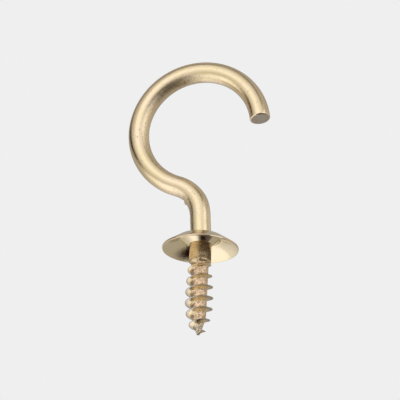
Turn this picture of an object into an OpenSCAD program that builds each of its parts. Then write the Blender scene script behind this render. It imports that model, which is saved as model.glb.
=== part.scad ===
// Cup hook: a hook bent from round brass wire, with a rolled wood-screw thread, and the
// pressed dish flange that covers the hole it is screwed into.
//
// Frame: the flange's rim lies in the plane z = 0, where it seats on the wood, and the
// shank's axis is the Z axis. The screw points down, the hook stands up in the XZ plane
// and its open end looks to +X. All sizes are in millimetres.

/* [Wire] */
// Diameter of the wire
wire_d = 3.25; // [2.5:0.05:4.5]
// Radius of the broken edge round the cut end
tip_round = 0.22; // [0.05:0.01:0.6]

/* [Bow] */
// Diameter inside the bow
bow_inner_d = 16.6; // [10:0.2:30]
// How far the bow's centre lies from the shank's axis, towards the open end
bow_offset = -0.78; // [-3:0.1:3]
// Angle of the bow's open end above the level of the bow's centre
tip_angle = 7.4; // [-40:0.2:60]

/* [Neck] */
// Straight wire between the top of the flange and the reverse bend
neck_straight = 3.02; // [1:0.1:12]
// Radius of the reverse bend, to the middle of the wire
neck_bend_r = 6.15; // [4.5:0.05:14]
// Straight wire between the reverse bend and the bow
bend_gap = 0.4; // [0.1:0.1:8]

/* [Flange] */
// Diameter of the dish across its rim
flange_d = 12.1; // [10.5:0.1:20]
// Thickness of the sheet
sheet_t = 0.32; // [0.2:0.02:0.8]
// Slope of the dish outside its ridge
cone_angle = 34; // [15:1:45]
// Slope of the dimple inside its ridge
dimple_angle = 40; // [25:1:50]
// Radius of the ridge between the two slopes, on its inside
ridge_r = 0.5; // [0.2:0.05:0.8]
// Width of the flat land where the rim seats on the wood
rim_land = 0.1; // [0.05:0.01:0.3]
// Width of the lip round the hole, which sits on the shank's shoulder
lip_w = 0.22; // [0.15:0.01:0.4]
// Height of the lip and the shoulder above the wood
lip_z = 0.75; // [0.3:0.05:1.2]
// Gap round the wire inside the hole
hole_gap = 0.03; // [0.02:0.01:0.08]

/* [Screw] */
// How far the plain shank stands out from the wire, as the flange's shoulder
shoulder_step = 0.11; // [0.1:0.01:0.3]
// Length of plain shank below the face of the wood
plain_l = 2.15; // [0.5:0.1:6]
// Length of the screw below the face of the wood
screw_l = 14.4; // [12:0.2:30]
// Pitch of the right-hand thread
pitch = 1.845; // [1.4:0.05:3]
// How far the crest of the thread stands out from the shank
crest_rise = 0.48; // [0.2:0.02:0.9]
// How deep the core lies below the face of the shank
core_depth = 0.37; // [0.15:0.01:0.6]
// How much the core's radius falls between the shank and the point
core_taper = 0.2; // [0:0.02:0.3]
// Width of the thread's crest
crest_w = 0.06; // [0.04:0.01:0.3]
// Angle between the thread's two flanks
flank_angle = 46; // [30:1:60]
// Length over which the thread rises to its full height
run_in_l = 6.5; // [2:0.25:8]
// Length over which the thread falls away towards the tip
run_out_l = 5.5; // [2:0.1:7]

/* [Point] */
// Length of the tapered point
point_l = 3.4; // [2:0.1:6]
// Radius of the blunt tip
point_r = 0.2; // [0.1:0.02:0.4]
// Radius of the thread's crest at the tip
point_crest_r = 0.8; // [0.4:0.05:1.2]
// Fullness of the point, where 1 is a straight cone
point_curve = 1.3; // [1:0.1:2]

/* [Hidden] */
$fn = 96;

brass = [0.80, 0.68, 0.44];
pale_brass = [0.84, 0.74, 0.52];

wire_r = wire_d / 2;
bow_r = bow_inner_d / 2 + wire_r;
shank_r = wire_r + shoulder_step;
core_r = shank_r - core_depth;
crest_r = shank_r + crest_rise;

// The sheet's two directions square to its slopes, and the one that halves its bend
cone_n = [sin(cone_angle), cos(cone_angle)];
dimple_n = [-sin(dimple_angle), cos(dimple_angle)];
ridge_n = (cone_n + dimple_n) / (1 + cone_n * dimple_n);

// The dish's corners as [radius, height], on the underside and on the top
rim_under = [flange_d / 2 - sheet_t * sin(cone_angle), 0];
rim_top = rim_under + sheet_t * cone_n;
hole_r = wire_r + hole_gap;
lip = [hole_r + lip_w, lip_z];
ridge_x = (rim_under.x * tan(cone_angle) + lip.x * tan(dimple_angle) - lip.y)
    / (tan(cone_angle) + tan(dimple_angle));
ridge_under = [ridge_x, (rim_under.x - ridge_x) * tan(cone_angle)];
ridge_top = ridge_under + sheet_t * ridge_n;
hole_top = [hole_r, ridge_top.y - (ridge_top.x - hole_r) * tan(dimple_angle)];

// The reverse bend turns the wire by bend_angle, and the bow turns it back from there
bend_z = ridge_top.y + neck_straight;
bend_span = neck_bend_r + bow_r;
bow_z = bend_z + sqrt(bend_span ^ 2 + bend_gap ^ 2 - (bow_offset + neck_bend_r) ^ 2);
bend_angle = atan2(bow_z - bend_z, bow_offset + neck_bend_r) - atan2(bend_gap, bend_span);

// The straight between the bends is a hair thicker and laps over both, so that they end inside it
joint_lap = 0.1;
joint_step = 0.005;

// Heights along the screw
core_z = -plain_l - core_depth;
point_z = point_l - screw_l;
thread_turns = (screw_l - plain_l - point_r) / pitch;

// The thread starts on the +Y side and dies away over its last quarter turn
thread_start = 90;
thread_fade = 0.25;
thread_sink = 0.15;
least_ridge = 0.02;
steps_per_turn = 36;
point_steps = 8;
bend_steps = 8;

function unit(v) = v / norm(v);

// Points that round the corner at b, between the lines to a and to c
function rounded(a, b, c, r) =
    let (u = unit(a - b), w = unit(c - b), half = acos(u * w) / 2, turn = 180 - 2 * half,
         m = b + unit(u + w) * r / sin(half),
         d0 = unit(b + u * r / tan(half) - m), d1 = unit(b + w * r / tan(half) - m))
    [for (i = [0:bend_steps]) let (t = i / bend_steps)
        m + r * (sin((1 - t) * turn) * d0 + sin(t * turn) * d1) / sin(turn)];

// How far z has come on its way down from one height to another, from 0 to 1
function share(z, from, to) = min(1, max(0, (from - z) / (from - to)));

// Radius of the core and of the thread's crest at height z
function core_at(z) =
    let (top = core_r - core_taper * share(z, core_z, point_z))
    point_r + (top - point_r) * (1 - share(z, point_z, -screw_l) ^ point_curve);
function crest_at(z) = min(
    shank_r + crest_rise * sin(90 * share(z, -plain_l, -plain_l - run_in_l)),
    crest_r + (point_crest_r - crest_r) * share(z, run_out_l - screw_l, -screw_l) ^ 2);

// One bend of the wire in the XZ plane, about [x, z], from one angle to another
module bend(x, z, r, from, to) {
    translate([x, 0, z]) rotate([90, 0, 0]) rotate([0, 0, from])
        rotate_extrude(angle = to - from) translate([r, 0]) circle(d = wire_d);
}

// The cut end of the wire: a short disc with a rounded edge, along +Z
module cut_end() {
    rotate_extrude() {
        square([wire_r - tip_round, tip_round]);
        intersection() {
            translate([wire_r - tip_round, 0]) circle(r = tip_round, $fn = 32);
            square([wire_r, tip_round]);
        }
    }
}

// The shank, the core and the point, turned in one piece
module screw_core() {
    point = [for (i = [1:point_steps]) let (z = point_z - (point_l - point_r) * i / point_steps)
        [core_at(z), z]];
    rotate_extrude() polygon(concat(
        [[0, lip_z], [shank_r, lip_z], [shank_r, -plain_l], [core_r, core_z],
         [core_at(point_z), point_z]],
        point, [[point_r / 2, -screw_l], [0, -screw_l]]));
}

// The rolled ridge, as one strip of four-cornered sections wound down the core
module thread() {
    count = round(thread_turns * steps_per_turn);
    points = [for (i = [0:count]) let (
        t = i / steps_per_turn, a = thread_start - 360 * t, z = -plain_l - pitch * t,
        root = core_at(z) - thread_sink,
        fade = min(1, (count - i) / steps_per_turn / thread_fade),
        crest = root + max(least_ridge, (crest_at(z) - root) * fade),
        half = crest_w / 2 + (crest - root) * tan(flank_angle / 2))
        for (p = [[root, half], [crest, crest_w / 2], [crest, -crest_w / 2], [root, -half]])
            [p.x * cos(a), p.x * sin(a), z + p.y]];
    sides = [for (i = [0:count - 1]) for (k = [0:3]) let (a = 4 * i + k, b = 4 * i + (k + 1) % 4)
        for (f = [[a, b, b + 4], [a, b + 4, a + 4]]) f];
    polyhedron(points, concat([[3, 2, 1, 0]], sides, [[for (k = [0:3]) 4 * count + k]]));
}

module hook() {
    color(brass) {
        translate([0, 0, lip_z]) cylinder(r = wire_r, h = bend_z - lip_z);
        bend(-neck_bend_r, bend_z, neck_bend_r, 0, bend_angle);
        translate([-neck_bend_r, 0, bend_z]) rotate([0, -bend_angle, 0])
            translate([neck_bend_r, 0, -joint_lap])
                cylinder(r = wire_r + joint_step, h = bend_gap + 2 * joint_lap);
        bend(bow_offset, bow_z, bow_r, tip_angle, 180 + bend_angle);
        translate([bow_offset, 0, bow_z]) rotate([0, -tip_angle, 0])
            translate([bow_r, 0, 0]) rotate([180, 0, 0]) cut_end();
        screw_core();
        thread();
    }
}

module dish_flange() {
    under = concat([rim_under], rounded(rim_under, ridge_under, lip, ridge_r), [lip, [hole_r, lip_z]]);
    top = concat([hole_top], rounded(hole_top, ridge_top, rim_top, ridge_r + sheet_t),
        [rim_top, rim_under + [rim_land, 0]]);
    color(pale_brass) rotate_extrude() polygon(concat(under, top));
}

hook();
dish_flange();
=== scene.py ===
import math

import bmesh
import bpy
from mathutils import Matrix, Vector


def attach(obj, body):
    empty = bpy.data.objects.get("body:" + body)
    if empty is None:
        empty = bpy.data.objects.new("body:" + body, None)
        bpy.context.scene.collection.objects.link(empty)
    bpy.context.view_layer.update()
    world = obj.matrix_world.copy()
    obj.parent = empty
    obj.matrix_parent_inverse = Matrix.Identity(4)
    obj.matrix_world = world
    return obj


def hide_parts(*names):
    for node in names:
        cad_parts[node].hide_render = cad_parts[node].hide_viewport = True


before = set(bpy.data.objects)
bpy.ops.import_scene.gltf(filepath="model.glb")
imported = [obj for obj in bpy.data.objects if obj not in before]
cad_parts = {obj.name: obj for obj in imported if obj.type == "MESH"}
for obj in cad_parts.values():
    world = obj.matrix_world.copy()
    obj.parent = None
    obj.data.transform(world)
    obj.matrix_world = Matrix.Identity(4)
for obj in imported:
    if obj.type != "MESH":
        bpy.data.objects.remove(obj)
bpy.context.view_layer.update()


# ---------------------------------------------------------------- the studio
# The hook hangs free in front of a pale backdrop and is seen from below, with a long lens.
# Soft boxes stand in front of it, left, right and low, and grey and black flags between them
# draw the darker lines that give the round wire its form. A pale floor lies well below.
MM = 0.001

VIEW_TURN = math.radians(15.25)
VIEW_TILT = math.radians(-22.38)
VIEW_ROLL = math.radians(1.87)
VIEW_DISTANCE = 0.833
LENS = 476.6
LOOK_AT = Vector((-0.243 * MM, -0.27 * MM, 8.325 * MM))
PALE = 0.863
FILL = 0.75
FLOOR_DROP = 3.0
FLOOR_REACH = 20
LAMP_DISTANCE = 0.8
LAMP_COLOUR = (0.95, 1.0, 1.04)

toward_camera = Vector((
    math.sin(VIEW_TURN) * math.cos(VIEW_TILT),
    -math.cos(VIEW_TURN) * math.cos(VIEW_TILT),
    math.sin(VIEW_TILT),
))
level_right = Vector((math.cos(VIEW_TURN), math.sin(VIEW_TURN), 0))
level_up = toward_camera.cross(level_right)
view_right = level_right * math.cos(VIEW_ROLL) + level_up * math.sin(VIEW_ROLL)
view_up = level_up * math.cos(VIEW_ROLL) - level_right * math.sin(VIEW_ROLL)


def seen(right, up, near):
    """A direction given as the camera sees it, as a unit vector in the scene."""
    return (view_right * right + view_up * up + toward_camera * near).normalized()


def place_facing(thing, direction, distance):
    """Stands a lamp or a card in that direction, with its -Z side turned to the hook."""
    thing.location = LOOK_AT + direction * distance
    thing.rotation_euler = direction.to_track_quat("Z", "Y").to_euler()


def new_object(name, data):
    thing = bpy.data.objects.new(name, data)
    bpy.context.collection.objects.link(thing)
    return thing


def new_mesh(name, shape):
    """Turns a finished bmesh into an object."""
    mesh = bpy.data.meshes.new(name)
    shape.to_mesh(mesh)
    shape.free()
    return new_object(name, mesh)


def step(tree, kind, inputs=(), **settings):
    """Adds a shader node. An input is a plain value or another node's output."""
    made = tree.nodes.new("ShaderNode" + kind)
    for name, value in settings.items():
        setattr(made, name, value)
    for name, value in dict(inputs).items():
        if isinstance(value, bpy.types.NodeSocket):
            tree.links.new(value, made.inputs[name])
        else:
            made.inputs[name].default_value = value
    return made


def soft_box(name, direction, width, height, turn, level):
    """An oval soft lamp that adds its level to the backdrop's paleness where metal mirrors it.
    Its sides are given for a distance of 1, and its turn in degrees."""
    width, height = width * LAMP_DISTANCE, height * LAMP_DISTANCE
    lamp = bpy.data.lights.new(name, "AREA")
    lamp.shape = "ELLIPSE"
    lamp.size = width
    lamp.size_y = height
    lamp.energy = level * math.pi * (math.pi / 4 * width * height)
    lamp.color = LAMP_COLOUR
    box = new_object(name, lamp)
    place_facing(box, direction, LAMP_DISTANCE)
    box.rotation_euler.rotate_axis("Z", math.radians(turn))
    box.visible_camera = False


def flag(name, direction, distance, width, height, turn, level, softness):
    """A soft-edged oval card that only shows as a grey or black shape in polished metal.
    Its sides are given for a distance of 1, its turn in degrees, and its softness as the
    share of its radius over which it fades."""
    shape = bmesh.new()
    bmesh.ops.create_circle(shape, cap_ends=True, radius=1, segments=48)
    card = new_mesh(name, shape)
    place_facing(card, direction, distance)
    card.rotation_euler.rotate_axis("Z", math.radians(turn))
    card.scale = (width / 2 * distance, height / 2 * distance, 1)
    for ray in ("camera", "diffuse", "shadow", "transmission", "volume_scatter"):
        setattr(card, "visible_" + ray, False)

    material = bpy.data.materials.new(name)
    material.use_nodes = True
    tree = material.node_tree
    tree.nodes.clear()
    place = step(tree, "TexCoord").outputs["Object"]
    middle = step(tree, "TexGradient", {"Vector": place}, gradient_type="SPHERICAL").outputs["Fac"]
    edge = step(
        tree, "MapRange", {"Value": middle, "From Max": softness}, interpolation_type="SMOOTHSTEP"
    )
    clear = step(tree, "BsdfTransparent").outputs["BSDF"]
    warm_grey = (1.02 * level + 0.01, level, 0.91 * level, 1)
    grey = step(tree, "Emission", {"Color": warm_grey}).outputs["Emission"]
    blend = step(tree, "MixShader", {0: edge.outputs["Result"], 1: clear, 2: grey})
    step(tree, "OutputMaterial", {"Surface": blend.outputs["Shader"]})
    card.data.materials.append(material)


camera_data = bpy.data.cameras.new("camera")
camera_data.lens = LENS
camera_data.sensor_width = 36
camera_data.clip_start = 0.05
camera_data.clip_end = 50
camera = new_object("camera", camera_data)
camera.location = LOOK_AT + toward_camera * VIEW_DISTANCE
camera.rotation_euler = Matrix((view_right, view_up, toward_camera)).transposed().to_euler()
bpy.context.scene.camera = camera

scene = bpy.context.scene
scene.view_settings.view_transform = "Standard"

world = bpy.data.worlds.new("studio")
world.use_nodes = True
scene.world = world
tree = world.node_tree
tree.nodes.clear()
rays = step(tree, "LightPath").outputs
mirrored = step(tree, "Math", {0: rays["Is Camera Ray"], 1: rays["Is Glossy Ray"]}, operation="ADD")
shows_pale = step(
    tree, "Math", {0: mirrored.outputs["Value"], 1: rays["Is Transmission Ray"]},
    operation="ADD", use_clamp=True,
)
fill_light = step(tree, "Background", {"Color": (FILL, FILL, FILL, 1)}).outputs["Background"]
backdrop = step(tree, "Background", {"Color": (PALE, PALE, PALE, 1)}).outputs["Background"]
around = step(tree, "MixShader", {0: shows_pale.outputs["Value"], 1: fill_light, 2: backdrop})
step(tree, "OutputWorld", {"Surface": around.outputs["Shader"]})

# The lamps: high on the left, on the right, low on the left, and straight below
soft_box("key_box", seen(-0.3, 0.7, 0.6), 0.9, 0.6, -30, 0.25)
soft_box("side_box", seen(0.75, 0.2, 0.65), 0.7, 1.8, -10, 0.6)
soft_box("low_box", seen(-0.7, -0.55, 0.45), 1.6, 1.0, -45, 0.3)
soft_box("floor_box", seen(-0.15, -1, 0), 0.7, 1.1, -15, 0.3)

# Wide grey flags behind the hook shade the wire's edges and the outer side of the dish
flag("back_flag", seen(-0.8, 0.2, -0.6), 0.95, 5, 5, 0, 0.45, 0.9)
flag("top_flag", seen(0.35, 0.75, -0.55), 0.93, 5, 2.5, 0, 0.45, 0.6)
flag("side_flag", seen(1, 0, 0), 0.91, 3.5, 1.2, -10, 0.5, 0.4)
flag("low_flag", seen(0.7, -0.65, -0.35), 0.89, 3, 6, -70, 0.4, 0.7)
# Narrow dark strips draw the thin lines along the wire
flag("corner_flag", seen(-0.55, 0.7, -0.5), 0.87, 0.3, 4, -15, 0.2, 0.2)
flag("streak_flag", seen(0.35, 0.9, -0.15), 0.85, 0.2, 2.5, -20, 0.15, 0.3)
# In front of the lamps: a soft grey line, the dark round the camera, and two black spots
flag("left_flag", seen(-0.85, 0.15, 0.5), 0.77, 6, 0.6, -35, 0.65, 0.5)
flag("camera_flag", seen(0.45, -0.55, 0.7), 0.74, 5.5, 3, -30, 0.1, 0.7)
flag("under_flag", seen(0.15, -0.95, 0.2), 0.71, 0.7, 1.6, -30, 0, 0.65)
flag("spot_flag", seen(-0.95, 0.2, -0.2), 0.68, 2.5, 0.6, -30, 0, 0.9)

shape = bmesh.new()
bmesh.ops.create_grid(shape, x_segments=1, y_segments=1, size=FLOOR_REACH)
bmesh.ops.translate(shape, verts=shape.verts, vec=(0, 0, -FLOOR_DROP))
floor = new_mesh("floor", shape)
floor_paint = bpy.data.materials.new("floor_paint")
floor_paint.use_nodes = True
tree = floor_paint.node_tree
paint = tree.nodes["Principled BSDF"]
paint.inputs["Base Color"].default_value = (PALE, PALE, PALE, 1)
paint.inputs["Roughness"].default_value = 0.9
rays = step(tree, "LightPath").outputs
mirrored = step(
    tree, "Math", {0: rays["Is Glossy Ray"], 1: rays["Is Transmission Ray"]}, operation="MAXIMUM"
)
backdrop = step(tree, "Emission", {"Color": (PALE, PALE, PALE, 1)}).outputs["Emission"]
either = step(tree, "MixShader", {0: mirrored.outputs["Value"], 1: paint.outputs["BSDF"], 2: backdrop})
tree.links.new(either.outputs["Shader"], tree.nodes["Material Output"].inputs["Surface"])
floor.data.materials.append(floor_paint)


# ---------------------------------------------------------------- the hook
# One length of round brass wire. Its lower end is rolled to a right-hand wood thread with a
# blunt point, under a plain shank whose shoulder carries the flange; the upper end is bent
# twice, the neck one way and the open bow the other, and cut off nearly square.
WIRE_R = 1.625 * MM
TIP_ROUND = 0.22 * MM
BOW_R = 9.925 * MM
BOW_OFFSET = -0.78 * MM
TIP_ANGLE = math.radians(7.4)
NECK_BEND_R = 6.15 * MM
BEND_GAP = 0.4 * MM
NECK_END = 5.274 * MM
SHOULDER = 0.75 * MM
SHANK_R = WIRE_R + 0.11 * MM
PLAIN_L = 2.15 * MM
SCREW_L = 14.4 * MM
PITCH = 1.845 * MM
CREST_RISE = 0.48 * MM
CORE_DEPTH = 0.37 * MM
CORE_TAPER = 0.2 * MM
CREST_W = 0.06 * MM
FLANK = math.tan(math.radians(23))
RUN_IN_L = 6.5 * MM
RUN_OUT_L = 5.5 * MM
POINT_L = 3.4 * MM
POINT_R = 0.2 * MM
POINT_CREST_R = 0.8 * MM
POINT_CURVE = 1.3
THREAD_START = 104
THREAD_FADE = 0.25
ROOT_FILLET = 0.36 * MM
LEAST_FILLET = 0.1 * MM
FILLET_GROWTH = 0.4
SEGMENTS = 96
HALF_ROWS = 12
ROW_CROWDING = 1.25
SPUN_TURNS = 9
FULL_HOLLOW = 0.8 * MM
SHANK_CUT = -1.2 * MM
TIP_CUT = 0.1 * MM - SCREW_L
EDGE = 0.05 * MM
NECK_ROWS = 14
NECK_STEPS = 72
BOW_STEPS = 180
ROUND_STEPS = 6
CUT_REACH = 3 * MM
CUT_FADE = 1.2 * MM
CUT_SKEW = math.tan(math.radians(5))
CUT_SLANT = math.tan(math.radians(4))
NECK_LEAN = 0.16 * MM
LEAN_LOW = 2.4 * MM
LEAN_HIGH = 9.4 * MM
NECK_TOP = 10 * MM
SCREW_LEAN = 0.1 * MM
NIB_ANGLE = math.radians(37.5)
NIB_L = 0.5 * MM
NIB_W = 0.5 * MM
NIB_RISE = 0.2 * MM
NIB_HOLLOW = 0.1 * MM

bend_span = NECK_BEND_R + BOW_R
bend_shift = BOW_OFFSET + NECK_BEND_R
bow_z = NECK_END + math.sqrt(bend_span ** 2 + BEND_GAP ** 2 - bend_shift ** 2)
bend_angle = math.atan2(bow_z - NECK_END, bend_shift) - math.atan2(BEND_GAP, bend_span)
thread_turns = (SCREW_L - PLAIN_L - POINT_R) / PITCH


def share(z, start, end):
    """How far z has come on its way from one height to another, from 0 to 1."""
    return min(1, max(0, (start - z) / (start - end)))


def swell(reach):
    """A smooth bump, 1 in its middle and 0 from a reach of 1 outwards."""
    return max(0, 1 - reach * reach) ** 2


def core_at(z):
    """Radius of the turned blank under the thread at height z."""
    point_top = POINT_L - SCREW_L
    shank_end = -PLAIN_L - CORE_DEPTH
    if z > shank_end:
        return SHANK_R - CORE_DEPTH * share(z, -PLAIN_L, shank_end)
    top = SHANK_R - CORE_DEPTH - CORE_TAPER * share(z, shank_end, point_top)
    return POINT_R + (top - POINT_R) * (1 - share(z, point_top, -SCREW_L) ** POINT_CURVE)


def crest_at(z):
    """Radius of the thread's crest where it passes height z."""
    full = SHANK_R + CREST_RISE
    rising = SHANK_R + CREST_RISE * math.sin(math.pi / 2 * share(z, -PLAIN_L, -PLAIN_L - RUN_IN_L))
    falling = full + (POINT_CREST_R - full) * share(z, RUN_OUT_L - SCREW_L, -SCREW_L) ** 2
    return min(rising, falling)


def thread_radius(angle, z):
    """Radius of the rolled screw at that angle and height: the ridge, filleted into the core."""
    core = core_at(z)
    first = -PLAIN_L - PITCH * (THREAD_START - math.degrees(angle)) / 360
    crest_z = first + PITCH * round((z - first) / PITCH)
    turn = (-PLAIN_L - crest_z) / PITCH
    if turn < 0 or turn > thread_turns:
        return core
    root = core_at(crest_z)
    fade = min(1, (thread_turns - turn) / THREAD_FADE)
    crest = root + (crest_at(crest_z) - root) * fade
    ridge = crest - max(0, abs(z - crest_z) - CREST_W / 2) / FLANK
    fillet = min(ROOT_FILLET, LEAST_FILLET + FILLET_GROWTH * max(0, crest - SHANK_R))
    lean = min(1, max(0, 0.5 + 0.5 * (ridge - core) / fillet))
    return core + (ridge - core) * lean + fillet * lean * (1 - lean)


def free_edges(shape, low, high):
    """The edges of the open ring that lies between two heights."""
    return [edge for edge in shape.edges if edge.is_boundary and low < edge.verts[0].co.z < high]


def grow(shape, ring, shift=(0, 0, 0), scale=1, centre=(0, 0, 0)):
    """Extrudes an open ring of edges, scales it about a centre and moves it."""
    made = bmesh.ops.extrude_edge_only(shape, edges=ring)["geom"]
    verts = [item for item in made if isinstance(item, bmesh.types.BMVert)]
    bmesh.ops.scale(shape, verts=verts, vec=(scale,) * 3, space=Matrix.Translation(-Vector(centre)))
    bmesh.ops.translate(shape, verts=verts, vec=shift)
    return [item for item in made if isinstance(item, bmesh.types.BMEdge)]


def swing(shape, ring, centre, axis, angle, steps):
    """Sweeps an open ring of edges round an axis, as the wire is bent."""
    made = bmesh.ops.spin(
        shape, geom=ring, cent=centre, axis=axis, angle=angle, steps=steps, use_merge=False
    )["geom_last"]
    return [item for item in made if isinstance(item, bmesh.types.BMEdge)]


hook = bmesh.new()
low = -PLAIN_L - PITCH * (THREAD_START / 360 + SPUN_TURNS - 2)
rows = [
    CREST_W / 2 + (PITCH / 2 - CREST_W / 2) * (i / HALF_ROWS) ** ROW_CROWDING
    for i in range(HALF_ROWS + 1)
]
rises = [-row for row in reversed(rows)] + rows
section = [hook.verts.new((SHANK_R, 0, low + rise)) for rise in rises]
edges = [hook.edges.new(pair) for pair in zip(section, section[1:])]
bmesh.ops.spin(
    hook, geom=edges, cent=(0, 0, 0), axis=(0, 0, 1), dvec=(0, 0, PITCH / SEGMENTS),
    angle=2 * math.pi * SPUN_TURNS, steps=SEGMENTS * SPUN_TURNS, use_merge=False,
)
bmesh.ops.remove_doubles(hook, verts=hook.verts, dist=0.005 * MM)
for height, side in ((SHANK_CUT, 1), (TIP_CUT, -1)):
    bmesh.ops.bisect_plane(
        hook, geom=hook.verts[:] + hook.edges[:] + hook.faces[:], dist=0.0001 * MM,
        plane_co=(0, 0, height), plane_no=(0, 0, side), clear_outer=True,
    )
hollow = hook.verts.layers.float.new("hollow")
# This mark covers the cut end's dull face and the burr, whose grey is painted shade
cut_face_and_burr_shade = hook.verts.layers.float.new("cut_face_and_burr_shade")
for vert in hook.verts:
    radius = thread_radius(math.atan2(vert.co.y, vert.co.x), vert.co.z)
    vert.co.xy = vert.co.xy.normalized() * radius
    vert[hollow] = share(radius - core_at(vert.co.z), FULL_HOLLOW, 0)

ring = free_edges(hook, -2 * SCREW_L, -SCREW_L / 2)
for drop, shrink in ((0.06, 0.75), (0.04, 0.4)):
    ring = grow(hook, ring, (0, 0, -drop * MM), shrink)
bmesh.ops.edgeloop_fill(hook, edges=ring)

# The shank, its shoulder with a broken edge, and the straight neck
ring = free_edges(hook, -SCREW_L / 2, 0)
reached, width = SHANK_CUT, SHANK_R
neck_rings = [
    (SHOULDER + EDGE + (NECK_END - SHOULDER - EDGE) * i / NECK_ROWS, WIRE_R)
    for i in range(NECK_ROWS + 1)
]
for height, radius in [
    (SHOULDER - 2 * EDGE, SHANK_R), (SHOULDER - EDGE, SHANK_R),
    (SHOULDER - 0.3 * EDGE, SHANK_R - 0.3 * EDGE), (SHOULDER, SHANK_R - EDGE), (SHOULDER, WIRE_R),
] + neck_rings:
    ring = grow(hook, ring, (0, 0, height - reached), radius / width, (0, 0, reached))
    reached, width = height, radius

ring = swing(hook, ring, (-NECK_BEND_R, 0, NECK_END), (0, -1, 0), bend_angle, NECK_STEPS)
ring = grow(hook, ring, Vector((-math.sin(bend_angle), 0, math.cos(bend_angle))) * BEND_GAP)
bow_sweep = math.pi + bend_angle - TIP_ANGLE
ring = swing(hook, ring, (BOW_OFFSET, 0, bow_z), (0, 1, 0), bow_sweep, BOW_STEPS)

# The cut end: its edge is broken, and the shears left its face a little out of square
tip_out = Vector((math.sin(TIP_ANGLE), 0, -math.cos(TIP_ANGLE)))
tip_outward = Vector((math.cos(TIP_ANGLE), 0, math.sin(TIP_ANGLE)))
tip_centre = Vector((BOW_OFFSET, 0, bow_z)) + BOW_R * tip_outward
width, reached = WIRE_R, 0
for i in range(1, ROUND_STEPS + 1):
    round_edge = math.pi / 2 * i / ROUND_STEPS
    radius = WIRE_R - TIP_ROUND * (1 - math.cos(round_edge))
    reach = TIP_ROUND * math.sin(round_edge)
    ring = grow(hook, ring, tip_out * (reach - reached), radius / width, tip_centre + tip_out * reached)
    width, reached = radius, reach
face_centre = tip_centre + tip_out * reached
for shrink in (0.97, 0.6, 0.3):
    ring = grow(hook, ring, scale=shrink, centre=face_centre)
bmesh.ops.edgeloop_fill(hook, edges=ring)
bmesh.ops.recalc_face_normals(hook, faces=hook.faces)

for vert in hook.verts:
    ahead = (vert.co - tip_centre).dot(tip_out)
    if (vert.co - tip_centre).length < CUT_REACH:
        vert[cut_face_and_burr_shade] = 1 - share(ahead, 0.985 * TIP_ROUND, 0.92 * TIP_ROUND)
        outward = (vert.co - tip_centre).dot(tip_outward)
        slope = vert.co.y * CUT_SKEW - (outward + 0.6 * WIRE_R) * CUT_SLANT
        vert.co += tip_out * slope * (1 - share(ahead, 0, -CUT_FADE))

# The inside of both bends, where the metal is pinched, is grainy like the thread's root
for vert in hook.verts:
    from_neck = Vector((vert.co.x + NECK_BEND_R, vert.co.z - NECK_END))
    from_bow = Vector((vert.co.x - BOW_OFFSET, vert.co.z - bow_z))
    if vert.co.z > NECK_END and from_neck.angle(Vector((1, 0))) > bend_angle:
        vert[hollow] = max(0, BOW_R - from_bow.length) / WIRE_R
    elif vert.co.z > NECK_END:
        vert[hollow] = max(0, NECK_BEND_R - from_neck.length) / WIRE_R
    elif vert.co.z > SHOULDER:
        vert[hollow] = max(0, -vert.co.x) / WIRE_R

# The screw and the neck lean a hair, and the neck's inside carries a small pinched burr
for vert in hook.verts:
    x, y, z = vert.co
    vert.co.x += SCREW_LEAN * share(z, 0, -SCREW_L)
    if z < LEAN_LOW or z > NECK_TOP:
        continue
    bend_at = math.atan2(z - NECK_END, x + NECK_BEND_R)
    axis_at = Vector((math.cos(bend_at), 0, math.sin(bend_at))) * NECK_BEND_R
    axis_at -= Vector((NECK_BEND_R, 0, -NECK_END))
    along = (bend_at - NIB_ANGLE) * (NECK_BEND_R - WIRE_R)
    if Vector((x + NECK_BEND_R, z - NECK_END)).length < NECK_BEND_R:
        rise = NIB_RISE * swell(along / NIB_L) * swell(y / NIB_W)
        rise -= NIB_HOLLOW * swell((along - 1.5 * NIB_L) / NIB_L) * swell(y / (3 * NIB_W))
        vert.co += (vert.co - axis_at).normalized() * rise
        # Painted shade: the burr in the bend's inside gets part of the cut face's dull grey
        vert[cut_face_and_burr_shade] = 0.6 * swell(along / (1.3 * NIB_L)) * swell(y / (1.5 * NIB_W))
    vert.co.x -= NECK_LEAN * math.sin(math.pi * share(z, LEAN_LOW, LEAN_HIGH)) ** 2
for face in hook.faces:
    face.smooth = True


def ramp(tree, value, start, end, low=0.0, high=1.0):
    """Maps a value between two limits smoothly to a range."""
    return step(tree, "MapRange", {
        "Value": value, "From Min": start, "From Max": end, "To Min": low, "To Max": high,
    }, interpolation_type="SMOOTHSTEP").outputs["Result"]


def times(tree, first, second):
    return step(tree, "Math", {0: first, 1: second}, operation="MULTIPLY").outputs["Value"]


def plus(tree, first, second):
    return step(tree, "Math", {0: first, 1: second}, operation="ADD").outputs["Value"]


def tinted(tree, amount, under, over):
    """Covers one colour with another by an amount from 0 to 1."""
    return step(tree, "Mix", {"Factor": amount, "A": under, "B": over}, data_type="RGBA").outputs["Result"]


def noise(tree, place, per_metre, detail, roughness=0.5):
    return step(tree, "TexNoise", {
        "Vector": place, "Scale": per_metre, "Detail": detail, "Roughness": roughness,
    }).outputs["Fac"]


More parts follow.
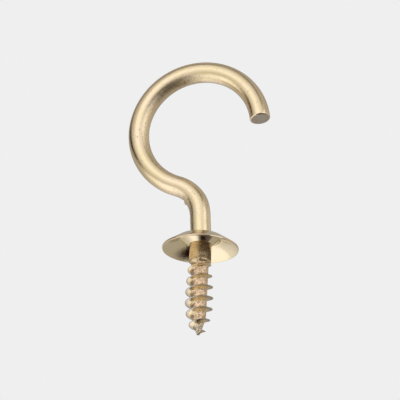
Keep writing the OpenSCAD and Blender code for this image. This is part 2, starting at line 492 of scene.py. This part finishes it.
ROLLED_FROM = -1.4 * MM
ROLLED_TO = -2.8 * MM
POINT_FROM = -12.7 * MM
POINT_TO = -13.1 * MM
YELLOW_BRASS = (0.90, 0.74, 0.47, 1)
CREAM_BRASS = (0.93, 0.75, 0.52, 1)
ROSY_PATCH = (0.92, 0.68, 0.50, 1)
REFLECTED_GREY_CREST = (0.65, 0.58, 0.49, 1)
GOLD_FLANK = (0.97, 0.78, 0.48, 1)
DARK_ROOT = (0.69, 0.48, 0.31, 1)
COPPERY_ROOT = (0.98, 0.73, 0.49, 1)
POINT_BRASS = (0.74, 0.63, 0.46, 1)
SHANK_TARNISH_AND_SHADE = (0.60, 0.44, 0.26, 1)
PIT_BROWN = (0.28, 0.18, 0.10, 1)
CUT_GREY = (0.68, 0.63, 0.53, 1)
CUT_PINK = (0.67, 0.56, 0.48, 1)
EDGE_TINT = (0.72, 0.72, 0.78, 1)


def drawn_brass():
    """Bright drawn wire with a pebbled grain, cloudy tarnishing and scattered brown pits. The plain
    shank is browner, tarnished and painted with shade under the dish. The rolled screw is rougher:
    coppery in its root, gold on its flanks, greyer on its crest as painted reflection. The cut end is
    dulled, and the burr is painted grey as painted shade."""
    material = bpy.data.materials.new("drawn_brass")
    material.use_nodes = True
    tree = material.node_tree
    metal = tree.nodes["Principled BSDF"]
    place = step(tree, "TexCoord").outputs["Object"]
    height = step(tree, "SeparateXYZ", {"Vector": place}).outputs["Z"]
    rolled = ramp(tree, height, ROLLED_FROM, ROLLED_TO)
    under_shoulder = ramp(tree, height, 0.76 * MM, 0.74 * MM)
    plain = times(tree, under_shoulder, ramp(tree, height, -3.0 * MM, -1.8 * MM))
    in_hollow = step(tree, "Attribute", attribute_name="hollow").outputs["Fac"]
    cut = step(tree, "Attribute", attribute_name="cut_face_and_burr_shade").outputs["Fac"]

    clouds = noise(tree, place, 330, 3)
    patches = noise(tree, place, 800, 3, 0.6)
    grain = noise(tree, place, 5200, 3, 0.6)
    speckle = noise(tree, place, 3000, 2, 0.5)
    mottle = noise(tree, place, 2100, 2)
    cells = step(tree, "TexVoronoi", {"Vector": place, "Scale": 1900.0}).outputs["Distance"]
    pits = times(tree, ramp(tree, cells, 0.22, 0.08), ramp(tree, patches, 0.47, 0.62))
    root = times(tree, rolled, ramp(tree, in_hollow, 0.75, 1.0))
    point = ramp(tree, height, POINT_FROM, POINT_TO)

    colour = tinted(tree, ramp(tree, clouds, 0.38, 0.62), YELLOW_BRASS, CREAM_BRASS)
    colour = tinted(tree, ramp(tree, patches, 0.56, 0.72, 0.0, 0.5), colour, ROSY_PATCH)
    # Painted reflection: the crest gets a greyer colour that stands in for the grey it mirrors at its
    # edges
    flank = tinted(tree, ramp(tree, in_hollow, 0.05, 0.5), REFLECTED_GREY_CREST, GOLD_FLANK)
    core = tinted(tree, ramp(tree, mottle, 0.36, 0.54), DARK_ROOT, COPPERY_ROOT)
    colour = tinted(tree, rolled, colour, tinted(tree, root, flank, core))
    colour = tinted(tree, point, colour, POINT_BRASS)
    # Painted shade: the plain shank below the dish is browned, partly tarnish and partly the shade under
    # the dish
    shank_shade_and_tarnish = times(tree, plain, ramp(tree, patches, 0.35, 0.65, 0.9, 0.6))
    colour = tinted(tree, shank_shade_and_tarnish, colour, SHANK_TARNISH_AND_SHADE)
    colour = tinted(tree, times(tree, pits, 0.75), colour, PIT_BROWN)
    # The cut face's dull grey, also laid on the burr as painted shade
    cut_grey_and_burr_shade = tinted(tree, ramp(tree, patches, 0.4, 0.6), CUT_GREY, CUT_PINK)
    colour = tinted(tree, cut, colour, cut_grey_and_burr_shade)
    tree.links.new(colour, metal.inputs["Base Color"])
    metal.inputs["Metallic"].default_value = 1
    metal.inputs["Specular Tint"].default_value = EDGE_TINT

    polish = ramp(tree, mottle, 0.35, 0.65, 0.11, 0.17)
    polish = plus(tree, polish, times(tree, rolled, 0.06))
    polish = plus(tree, polish, times(tree, plain, 0.14))
    polish = plus(tree, polish, times(tree, cut, 0.3))
    tree.links.new(polish, metal.inputs["Roughness"])

    pinched = ramp(tree, in_hollow, 0.3, 0.9, 0.024, 0.07)
    pinched = times(tree, pinched, ramp(tree, plain, 0.0, 1.0, 1.0, 0.25))
    relief = plus(tree, times(tree, grain, pinched), times(tree, pits, -0.03))
    relief = plus(tree, relief, times(tree, times(tree, speckle, root), 0.02))
    relief = plus(tree, relief, times(tree, times(tree, mottle, root), 0.18))
    bump = step(tree, "Bump", {"Height": relief, "Distance": MM, "Strength": 1.0})
    tree.links.new(bump.outputs["Normal"], metal.inputs["Normal"])
    return material


hook_piece = new_mesh("bent_hook", hook)
hook_piece.data.materials.append(drawn_brass())
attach(hook_piece, "root")
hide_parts("hook")


# ---------------------------------------------------------------- the dish flange
# A thin brass disc pressed to a shallow dish, with a dimple in its middle, that covers the
# hole in the wood. It is threaded on the wire, and the lip round its hole sits on the
# shank's shoulder.
FLANGE_R = 6.05 * MM
SHEET_T = 0.32 * MM
CONE_ANGLE = math.radians(34)
DIMPLE_ANGLE = math.radians(40)
RIDGE_R = 0.5 * MM
RIM_LAND = 0.1 * MM
LIP_W = 0.22 * MM
HOLE_R = WIRE_R + 0.03 * MM
BROKEN_EDGE = 0.04 * MM
RIM_BARE = 5.87 * MM
RIM_EDGE = 5.95 * MM

cone_rise, dimple_rise = math.tan(CONE_ANGLE), math.tan(DIMPLE_ANGLE)
cone_n = Vector((math.sin(CONE_ANGLE), math.cos(CONE_ANGLE)))
dimple_n = Vector((-math.sin(DIMPLE_ANGLE), math.cos(DIMPLE_ANGLE)))
rim_under = Vector((FLANGE_R - SHEET_T * cone_n.x, 0))
rim_top = rim_under + SHEET_T * cone_n
lip = Vector((HOLE_R + LIP_W, SHOULDER))
ridge_x = (rim_under.x * cone_rise + lip.x * dimple_rise - lip.y) / (cone_rise + dimple_rise)
ridge_under = Vector((ridge_x, (rim_under.x - ridge_x) * cone_rise))
ridge_top = ridge_under + SHEET_T * (cone_n + dimple_n) / (1 + cone_n.dot(dimple_n))
hole_top = Vector((HOLE_R, ridge_top.y - (ridge_top.x - HOLE_R) * dimple_rise))
ridge_reach = math.tan((CONE_ANGLE + DIMPLE_ANGLE) / 2)

# The dish's section, each corner with how far its rounding reaches
dish = bmesh.new()
corners = [
    (rim_under, 0), (ridge_under, RIDGE_R * ridge_reach), (lip, BROKEN_EDGE),
    (Vector((HOLE_R, SHOULDER)), BROKEN_EDGE), (hole_top, BROKEN_EDGE),
    (ridge_top, (RIDGE_R + SHEET_T) * ridge_reach), (rim_top, 2 * BROKEN_EDGE),
    (rim_under + Vector((RIM_LAND, 0)), BROKEN_EDGE),
]
outline = [dish.verts.new((corner.x, 0, corner.y)) for corner, _ in corners]
edges = [dish.edges.new((a, b)) for a, b in zip(outline, outline[1:] + outline[:1])]
for vert, (_, reach) in zip(outline, corners):
    if reach:
        bmesh.ops.bevel(
            dish, geom=[vert], offset=reach, offset_type="OFFSET", affect="VERTICES",
            segments=14 if reach > RIM_LAND else 4, profile=0.5, material=-1,
        )
bmesh.ops.spin(
    dish, geom=dish.edges[:], cent=(0, 0, 0), axis=(0, 0, 1), angle=2 * math.pi, steps=144, use_merge=True
)
bmesh.ops.recalc_face_normals(dish, faces=dish.faces)
for face in dish.faces:
    face.smooth = True


SHEET_BRASS = (0.89, 0.76, 0.50, 1)
PALE_SHEET = (0.92, 0.77, 0.54, 1)
SHADED_TOP = (0.72, 0.61, 0.45, 1)
COPPERY_RIM = (0.85, 0.62, 0.45, 1)
SHEET_PIT = (0.40, 0.29, 0.17, 1)


def pressed_brass():
    """Bright sheet, smoother than the wire, with a faint bloom, fine pits and a coppery cut rim."""
    material = bpy.data.materials.new("pressed_brass")
    material.use_nodes = True
    tree = material.node_tree
    metal = tree.nodes["Principled BSDF"]
    place = step(tree, "TexCoord").outputs["Object"]
    across = step(tree, "VectorMath", {0: place, 1: (1, 1, 0)}, operation="MULTIPLY").outputs["Vector"]
    radius = step(tree, "VectorMath", {0: across}, operation="LENGTH").outputs["Value"]
    facing = step(tree, "NewGeometry").outputs["Normal"]
    upward = step(tree, "SeparateXYZ", {"Vector": facing}).outputs["Z"]
    clouds = noise(tree, place, 300, 3)
    grain = noise(tree, place, 3000, 3, 0.6)
    spots = step(tree, "TexVoronoi", {"Vector": place, "Scale": 800.0}).outputs["Distance"]
    pits = times(tree, ramp(tree, spots, 0.14, 0.05), ramp(tree, clouds, 0.5, 0.62))

    colour = tinted(tree, ramp(tree, clouds, 0.38, 0.62), SHEET_BRASS, PALE_SHEET)
    # Painted shade: the upward-facing side of the dish is darker
    colour = tinted(tree, ramp(tree, upward, 0.2, 0.6), colour, SHADED_TOP)
    colour = tinted(tree, ramp(tree, radius, RIM_BARE, RIM_EDGE, 0.0, 0.5), colour, COPPERY_RIM)
    colour = tinted(tree, times(tree, pits, 0.6), colour, SHEET_PIT)
    tree.links.new(colour, metal.inputs["Base Color"])
    metal.inputs["Metallic"].default_value = 1
    tree.links.new(ramp(tree, clouds, 0.35, 0.65, 0.09, 0.14), metal.inputs["Roughness"])
    relief = plus(tree, times(tree, grain, 0.012), times(tree, pits, -0.01))
    bump = step(tree, "Bump", {"Height": relief, "Distance": MM, "Strength": 1.0})
    tree.links.new(bump.outputs["Normal"], metal.inputs["Normal"])
    return material


dish_piece = new_mesh("pressed_dish", dish)
dish_piece.data.materials.append(pressed_brass())
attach(dish_piece, "root")
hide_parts("dish_flange")
